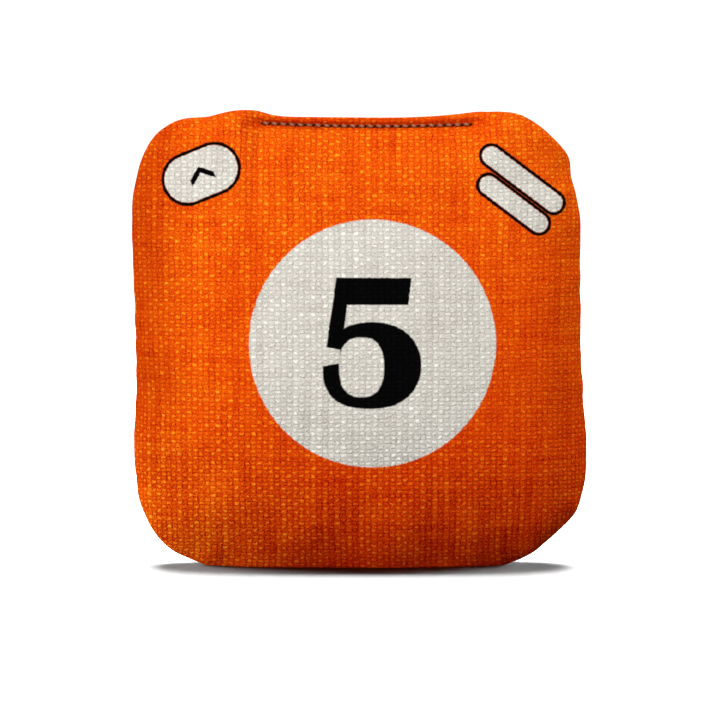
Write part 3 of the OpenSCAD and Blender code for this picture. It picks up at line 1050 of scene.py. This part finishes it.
slow_side.data.materials.append(slow_cloth())
fast_side.data.materials.append(fast_cloth())
thread_material = thread_finish()
for thread in threads:
    thread.data.materials.append(thread_material)
pellets.data.materials.append(pellet_finish())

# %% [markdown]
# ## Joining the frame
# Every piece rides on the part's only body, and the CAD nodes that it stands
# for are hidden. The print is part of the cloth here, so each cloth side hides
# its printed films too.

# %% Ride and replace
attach(slow_side, "root")
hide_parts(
    "slow_side_panel", "slow_side_roundel", "slow_side_numeral",
    "slow_side_badge", "slow_side_label_bars",
)
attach(fast_side, "root")
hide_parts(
    "fast_side_panel", "fast_side_roundel", "fast_side_numeral", "fast_side_badge"
)
for thread in threads:
    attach(thread, "root")
    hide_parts(thread.name.replace("_stitches", "_thread"))
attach(pellets, "root")
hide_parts("pellet_fill")

# %% [markdown]
# ## Studio
# The bag stands in a white bowl: a floor that curves up into a wall all round, so
# that no horizon shows from any side. It glows away from the bag, like paper that is
# lit from behind. Three soft lights reach only the floor, and throw the thin shadow
# forward. Five reach only the bag: the key hangs high in front, one stands on each
# side, and two do the same for the fast side.


# %% Bowl
FLOOR_RINGS = (0.001, 0.2, 0.6, 1.2, 1.8)
FLOOR_R, BEND_R, WALL_TOP = 2.4, 1.2, 3.5
GLOW_MM = (170.0, 420.0)


def studio_bowl():
    """A round floor that turns up into a wall along a quarter circle, in metres."""
    bend = np.linspace(0, np.pi / 2, 24)
    out, up = FLOOR_R + BEND_R * np.sin(bend), BEND_R - BEND_R * np.cos(bend)
    radius = np.concatenate([FLOOR_RINGS, out, [FLOOR_R + BEND_R]])
    height = np.concatenate([np.zeros(len(FLOOR_RINGS)), up, [WALL_TOP]])
    turn = np.linspace(0, 2 * np.pi, 96, endpoint=False)
    points = np.stack([
        radius[:, None] * np.cos(turn), radius[:, None] * np.sin(turn),
        np.repeat(height[:, None], len(turn), 1),
    ], -1) / MM
    rings = np.arange(points.shape[0] * len(turn)).reshape(points.shape[0], len(turn))
    return make_mesh("studio_bowl", points.reshape(-1, 3), band_faces(list(rings), True))


bowl = studio_bowl()
paper = Finish("white paper")
across, along, _ = paper.place()
glow = (across * across + along * along).math("SQRT").ramp(*GLOW_MM)
paper.set(Base_Color=(0.12, 0.12, 0.12, 1), Roughness=0.95, Specular_IOR_Level=0.0)
paper.set(Emission_Color=paper.ramp(glow, ((0.0, (0, 0, 0)), (1.0, (1, 1, 1)))))
paper.set(Emission_Strength=1.0)
bowl.data.materials.append(paper.material)
bowl.visible_diffuse = False
bowl.visible_shadow = False
print("bowl:", len(bowl.data.polygons), "quads")


# %% Lights
def receivers(name, pieces):
    """A collection of pieces, for lights that light nothing else."""
    group = bpy.data.collections.new(name)
    for piece in pieces:
        group.objects.link(piece)
    return group


floor_only = receivers("floor light reaches", [bowl])
bag_only = receivers("bag lights reach", [
    piece for piece in scene.collection.objects if piece.type == "MESH" and piece is not bowl
])


BAG_CENTRE = (0, 0, 0.075)


def soft_light(name, place, size, watts, only):
    """A rectangular area light that faces the bag and lights only some pieces."""
    lamp = bpy.data.lights.new(name, "AREA")
    lamp.shape, lamp.size, lamp.size_y, lamp.energy = "RECTANGLE", size[0], size[1], watts
    light = bpy.data.objects.new(name, lamp)
    scene.collection.objects.link(light)
    light.location = place
    facing = Vector(BAG_CENTRE) - Vector(place)
    light.rotation_euler = facing.to_track_quat("-Z", "Y").to_euler()
    light.light_linking.receiver_collection = only


soft_light("floor light", (-0.03, 0.42, 1.45), (1.1, 0.85), 670, floor_only)
soft_light("floor left", (-1.4, 0.45, 0.5), (0.6, 0.6), 130, floor_only)
soft_light("floor right", (1.4, 0.45, 0.5), (0.6, 0.6), 110, floor_only)
soft_light("key", (0.38, -0.8, 1.58), (0.5, 0.5), 27.6, bag_only)
soft_light("left", (-1.5, -0.86, 0.0), (0.5, 0.5), 34.5, bag_only)
soft_light("right", (1.56, -0.76, 0.06), (0.6, 0.6), 12, bag_only)
soft_light("back key", (0.4, 1.2, 1.3), (0.6, 0.6), 26, bag_only)
soft_light("back left", (-1.4, 0.9, 0.4), (0.6, 0.6), 10, bag_only)

# %% Sky and camera
world = bpy.data.worlds.new("sky")
scene.world = world
world.use_nodes = True
sky = world.node_tree.nodes["Background"]
sky.inputs["Color"].default_value = (1, 1, 1, 1)
sky.inputs["Strength"].default_value = 0.02
scene.view_settings.view_transform = "Standard"

lens = bpy.data.cameras.new("camera")
camera = bpy.data.objects.new("camera", lens)
scene.collection.objects.link(camera)
scene.camera = camera
DISTANCE, ELEVATION = 1.1, np.radians(4)
VIEW_WIDTH, SENSOR_MM = 0.2412, 36
AIM_X, AIM_Z = 0.0002, 0.0688
lens.sensor_width = SENSOR_MM
lens.lens = SENSOR_MM * DISTANCE / VIEW_WIDTH
lens.clip_start, lens.clip_end = 0.05, 20
camera.location = (AIM_X, -DISTANCE * np.cos(ELEVATION), AIM_Z + DISTANCE * np.sin(ELEVATION))
camera.rotation_euler = (np.pi / 2 - ELEVATION, 0, 0)
print("focal length in mm:", round(lens.lens, 1))
